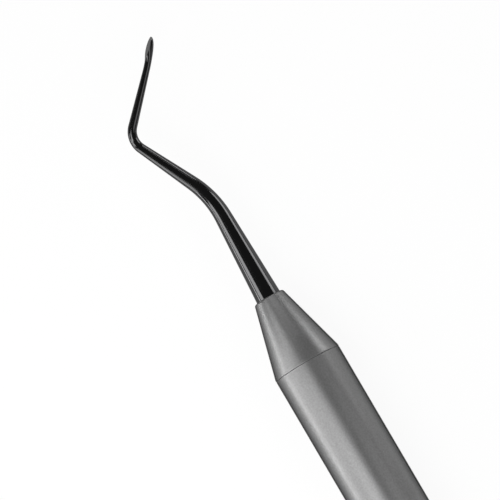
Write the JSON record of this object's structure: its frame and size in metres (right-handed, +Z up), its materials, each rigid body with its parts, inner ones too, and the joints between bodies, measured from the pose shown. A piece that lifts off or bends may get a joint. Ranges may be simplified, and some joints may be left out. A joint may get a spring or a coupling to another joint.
{
  "type": "leaf-tip dental explorer",
  "caption": "Slim double-ended dental hand instrument: round satin handle, screw-in nose cones and black bent shanks, each ending in a small leaf-shaped tip.",
  "frame": {"origin": "on the table under the middle of the handle", "axes": "+X along the handle towards the front working end, +Z up, with the bends of both ends flat in a level plane"},
  "size_m": [0.1756, 0.0092, 0.008],
  "materials": {
    "satin_steel": "fine bead-blasted satin stainless steel",
    "socket_steel": "bright machined stainless steel",
    "black_coating": "thin glossy black hard coating on polished steel",
    "seal_rubber": "smooth moulded black rubber"
  },
  "bodies": {
    "handle": {"handle_tube": "satin_steel", "front_socket": "socket_steel", "rear_socket": "socket_steel"},
    "front_seal": {"front_seal_ring": "seal_rubber"},
    "front_tip": {"front_cone": "satin_steel", "front_working_end": "black_coating"},
    "rear_seal": {"rear_seal_ring": "seal_rubber"},
    "rear_tip": {"rear_cone": "satin_steel", "rear_working_end": "black_coating"}
  },
  "joints": [
    {"name": "front_cone_travel", "type": "slide", "parent": "handle", "child": "front_seal", "axis": [1, 0, 0], "range_m": [0, 0.0032]},
    {"name": "front_cone_turn", "type": "hinge", "parent": "front_seal", "child": "front_tip", "pos_m": [0.0475, 0, 0.004], "axis": [1, 0, 0], "range_deg": [0, 1440]},
    {"name": "rear_cone_travel", "type": "slide", "parent": "handle", "child": "rear_seal", "axis": [-1, 0, 0], "range_m": [0, 0.0032]},
    {"name": "rear_cone_turn", "type": "hinge", "parent": "rear_seal", "child": "rear_tip", "pos_m": [-0.0475, 0, 0.004], "axis": [-1, 0, 0], "range_deg": [0, 1440]}
  ],
  "couplings": [
    {"joint": "front_cone_turn", "follows": "front_cone_travel", "rad_per_m": 7854},
    {"joint": "rear_cone_turn", "follows": "rear_cone_travel", "rad_per_m": 7854}
  ]
}
